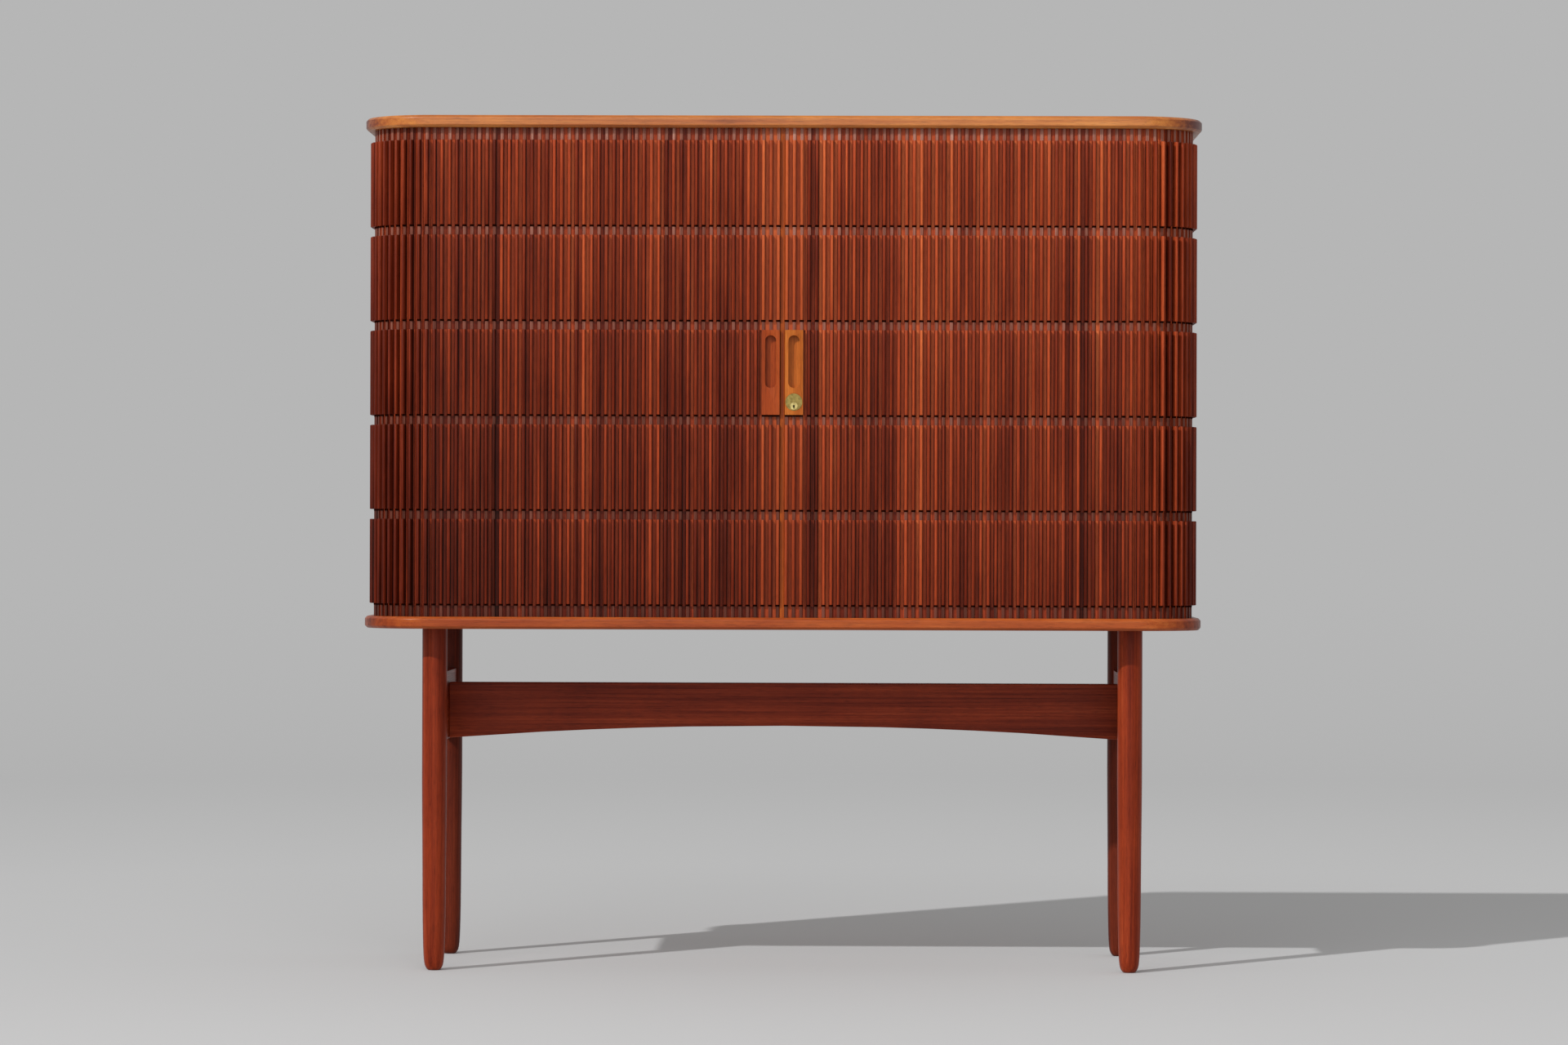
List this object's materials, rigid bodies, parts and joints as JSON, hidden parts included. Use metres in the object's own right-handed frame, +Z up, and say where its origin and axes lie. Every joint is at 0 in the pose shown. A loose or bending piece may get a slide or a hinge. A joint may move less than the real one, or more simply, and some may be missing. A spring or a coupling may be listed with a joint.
{
  "type": "humidor cabinet",
  "caption": "Wide cabinet on tapered round legs, closed by a pair of sliding tambour doors of milled slats, with a lock and cedar shelves inside.",
  "frame": {"origin": "on the floor, under the middle of the cabinet", "axes": "+X to the right as seen from the front, +Y to the rear, +Z up"},
  "size_m": [1.18, 0.45, 1.2],
  "materials": {
    "slab_wood": "satin lacquered reddish teak, straight grain along X",
    "slat_wood": "satin lacquered dark reddish teak, grain upright, each slat its own shade",
    "block_wood": "satin lacquered reddish teak, grain upright",
    "leg_wood": "satin lacquered dark teak, grain upright",
    "rail_wood": "satin lacquered dark teak, grain along the rail",
    "carcass_wood": "satin lacquered veneered board",
    "cedar": "bare planed Spanish cedar",
    "back_board": "veneered board, matt",
    "canvas": "close woven linen, glue side out",
    "brass": "brushed, slightly aged",
    "steel": "plated",
    "black_plastic": "matt black",
    "white_plastic": "matt white",
    "display": "grey-green display pane"
  },
  "bodies": {
    "cabinet": {"top_slab": "slab_wood", "bottom_slab": "slab_wood", "leg_front_left": "leg_wood", "leg_front_right": "leg_wood", "leg_rear_left": "leg_wood", "leg_rear_right": "leg_wood", "side_rail_left": "rail_wood", "side_rail_right": "rail_wood", "stretcher": "rail_wood", "carcass_side_left": "carcass_wood", "carcass_side_right": "carcass_wood", "carcass_back": "carcass_wood", "divider": "cedar", "floor_lining": "cedar", "ceiling_lining": "cedar", "shelf_left_1": "cedar", "shelf_left_2": "cedar", "shelf_left_3": "cedar", "shelf_right_1": "cedar", "shelf_right_2": "cedar", "shelf_right_3": "cedar", "shelf_runners": "cedar", "back_panel": "back_board", "left_front_slats": "slat_wood", "left_front_corner_slats": "slat_wood", "left_side_slats": "slat_wood", "left_rear_corner_slats": "slat_wood", "left_front_canvas": "canvas", "left_side_canvas": "canvas", "right_front_slats": "slat_wood", "right_front_corner_slats": "slat_wood", "right_side_slats": "slat_wood", "right_rear_corner_slats": "slat_wood", "right_front_canvas": "canvas", "right_side_canvas": "canvas", "humidifier_case": "black_plastic", "humidifier_cartridge": "white_plastic", "hygrometer_case": "black_plastic", "hygrometer_display": "display"},
    "left_door": {"left_lead_stile": "slat_wood", "left_pull_block": "block_wood", "left_strike": "steel"},
    "right_door": {"right_lead_stile": "slat_wood", "right_pull_block": "block_wood", "lock_case": "brass"},
    "lock": {"lock_plug": "brass", "lock_hook": "steel", "lock_screw": "steel"}
  },
  "joints": [
    {"name": "left_door_slide", "type": "slide", "parent": "cabinet", "child": "left_door", "axis": [-1, 0, 0], "range_m": [0, 0.459], "deforming": ["left_front_slats", "left_front_canvas"]},
    {"name": "right_door_slide", "type": "slide", "parent": "cabinet", "child": "right_door", "axis": [1, 0, 0], "range_m": [0, 0.459], "deforming": ["right_front_slats", "right_front_canvas"]},
    {"name": "lock_turn", "type": "hinge", "parent": "right_door", "child": "lock", "pos_m": [0.01632, -0.2, 0.7946], "axis": [0, 1, 0], "range_deg": [0, 90]}
  ]
}
